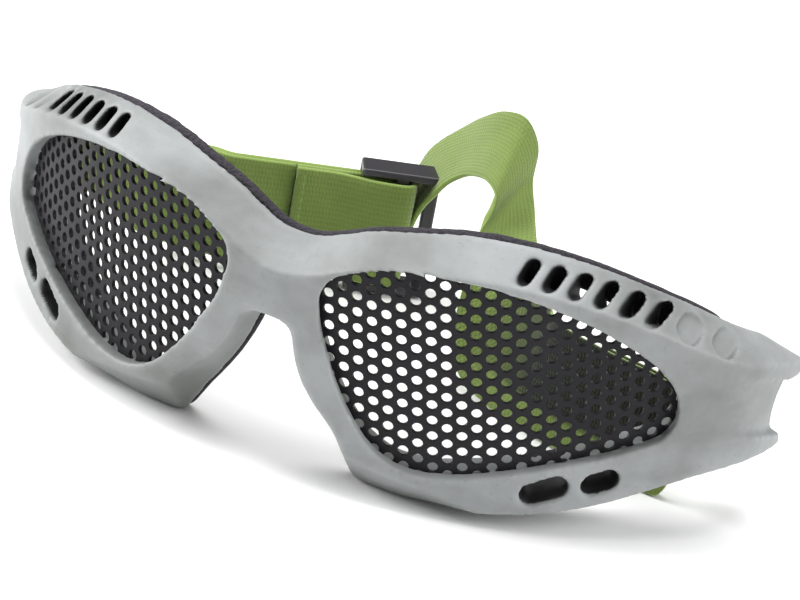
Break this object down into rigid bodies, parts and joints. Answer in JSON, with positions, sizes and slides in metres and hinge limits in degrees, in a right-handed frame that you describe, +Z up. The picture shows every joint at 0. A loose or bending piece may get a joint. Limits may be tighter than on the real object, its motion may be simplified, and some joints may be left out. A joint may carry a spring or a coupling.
{
  "type": "mesh safety goggles",
  "caption": "Wrap-round safety goggles with a moulded rubber frame, perforated metal eye screens, a foam face seal and an elastic head strap with a sliding buckle.",
  "frame": {"origin": "middle of the bounding box, on the surface that the goggles rest on", "axes": "X across the face with the wearer's left at +X, the front faces -Y, Z up"},
  "size_m": [0.1754, 0.1104, 0.0556],
  "materials": {
    "frame_rubber": "satin moulded rubber, light grey",
    "seal_foam": "soft closed-cell foam, dark grey-purple",
    "screen_metal": "black coated perforated sheet steel",
    "strap_elastic": "ribbed woven elastic, green",
    "strap_thread": "sewing thread, green",
    "buckle_plastic": "moulded plastic, near black"
  },
  "bodies": {
    "goggles": {"goggle_frame": "frame_rubber", "face_foam": "seal_foam", "mesh_lens_left": "screen_metal", "mesh_lens_right": "screen_metal", "strap_band": "strap_elastic", "strap_inner_layer": "strap_elastic", "temple_seam_stitches": "strap_thread"},
    "buckle": {"strap_slider": "buckle_plastic", "strap_end_fold": "strap_elastic", "end_seam_stitches": "strap_thread"}
  },
  "joints": [
    {"name": "buckle_slide", "type": "slide", "parent": "goggles", "child": "buckle", "axis": [0.866, 0.5, 0], "range_m": [-0.012, 0], "deforming": ["strap_inner_layer"]}
  ]
}
